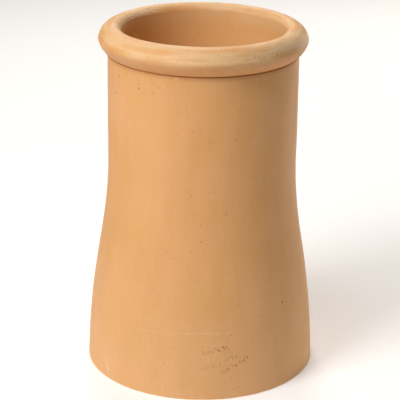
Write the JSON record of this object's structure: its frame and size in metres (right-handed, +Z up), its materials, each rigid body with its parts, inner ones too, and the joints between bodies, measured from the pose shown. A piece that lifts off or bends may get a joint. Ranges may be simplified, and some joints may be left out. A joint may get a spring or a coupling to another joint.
{
  "type": "chimney pot",
  "caption": "Roll-top terracotta chimney pot: an open clay tube with a straight neck, an ogee flare to a wider foot and a thick rounded roll at the mouth.",
  "frame": {"origin": "centre of the foot, on the plane that the pot stands on", "axes": "+Z up the pot's axis from the foot to the roll at the mouth; X and Y are equivalent, with the small stamped rows on the side that faces -Y"},
  "size_m": [0.2982, 0.298, 0.45],
  "materials": {
    "terracotta": "unglazed fired clay, matt, fine sandy grain"
  },
  "bodies": {
    "root": {"chimney_pot": "terracotta"}
  },
  "joints": []
}
